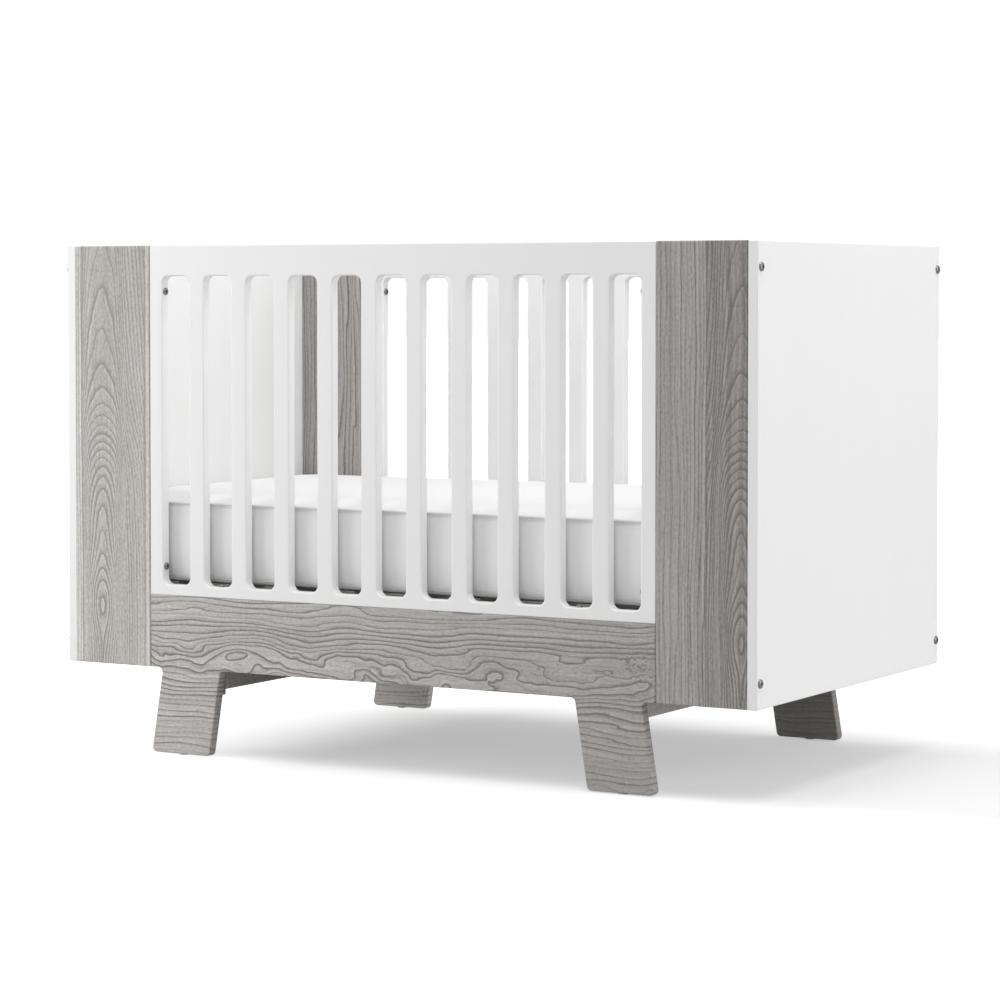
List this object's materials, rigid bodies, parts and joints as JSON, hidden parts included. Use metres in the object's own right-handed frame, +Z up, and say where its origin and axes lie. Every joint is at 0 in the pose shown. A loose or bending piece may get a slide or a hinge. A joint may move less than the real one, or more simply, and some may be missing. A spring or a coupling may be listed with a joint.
{
  "type": "baby crib",
  "caption": "Box-shaped baby crib with slatted front and rear, solid end panels, wide wooden posts, splayed plank legs and a mattress on a height-adjustable slatted support.",
  "frame": {"origin": "on the floor, under the middle of the crib", "axes": "+X along the crib to the right end as seen from the front, -Y out of the front, +Z up"},
  "size_m": [1.3772, 0.752, 0.9],
  "materials": {
    "white_lacquer": "satin white lacquer",
    "grey_washed_wood": "grey washed wood with open cathedral grain",
    "plain_wood": "sanded, clear finish",
    "black_steel": "powder coat",
    "nickel_steel": "nickel plated",
    "zinc_steel": "zinc plated",
    "nylon": "moulded nylon",
    "foam": "open-cell foam",
    "white_ticking": "white woven ticking"
  },
  "bodies": {
    "case": {"apron_bolts": "nickel_steel", "barrel_nuts": "nickel_steel", "beam_screws": "nickel_steel", "cleat_bolts": "nickel_steel", "end_bolts": "nickel_steel", "end_panel_dowels": "plain_wood", "foot_glides": "nylon", "front_left_cleat": "grey_washed_wood", "front_left_post": "grey_washed_wood", "front_leg_board": "grey_washed_wood", "front_right_cleat": "grey_washed_wood", "front_right_post": "grey_washed_wood", "front_slatted_panel": "white_lacquer", "hanger_bolts": "nickel_steel", "left_cross_beam": "grey_washed_wood", "left_end_panel": "white_lacquer", "leg_board_dowels": "plain_wood", "rear_left_cleat": "grey_washed_wood", "rear_left_post": "grey_washed_wood", "rear_leg_board": "grey_washed_wood", "rear_right_cleat": "grey_washed_wood", "rear_right_post": "grey_washed_wood", "rear_slatted_panel": "white_lacquer", "right_cross_beam": "grey_washed_wood", "right_end_panel": "white_lacquer", "side_bolts": "nickel_steel", "threaded_inserts": "zinc_steel"},
    "mattress_support": {"deck_screws": "nickel_steel", "deck_slat_1": "plain_wood", "deck_slat_10": "plain_wood", "deck_slat_11": "plain_wood", "deck_slat_2": "plain_wood", "deck_slat_3": "plain_wood", "deck_slat_4": "plain_wood", "deck_slat_5": "plain_wood", "deck_slat_6": "plain_wood", "deck_slat_7": "plain_wood", "deck_slat_8": "plain_wood", "deck_slat_9": "plain_wood", "frame_screws": "nickel_steel", "front_left_hanger": "black_steel", "front_right_hanger": "black_steel", "front_support_rail": "plain_wood", "hanger_screws": "nickel_steel", "left_support_rail": "plain_wood", "rear_left_hanger": "black_steel", "rear_right_hanger": "black_steel", "rear_support_rail": "plain_wood", "right_support_rail": "plain_wood"},
    "mattress": {"mattress_core": "foam", "mattress_border": "white_ticking", "mattress_top": "white_ticking", "mattress_bottom": "white_ticking", "top_piping": "white_ticking", "bottom_piping": "white_ticking"}
  },
  "joints": [
    {"name": "support_height", "type": "slide", "parent": "case", "child": "mattress_support", "axis": [0, 0, 1], "range_m": [0, 0.128]},
    {"name": "mattress_lift", "type": "slide", "parent": "mattress_support", "child": "mattress", "axis": [0, 0, 1], "range_m": [0, 0.62]}
  ]
}
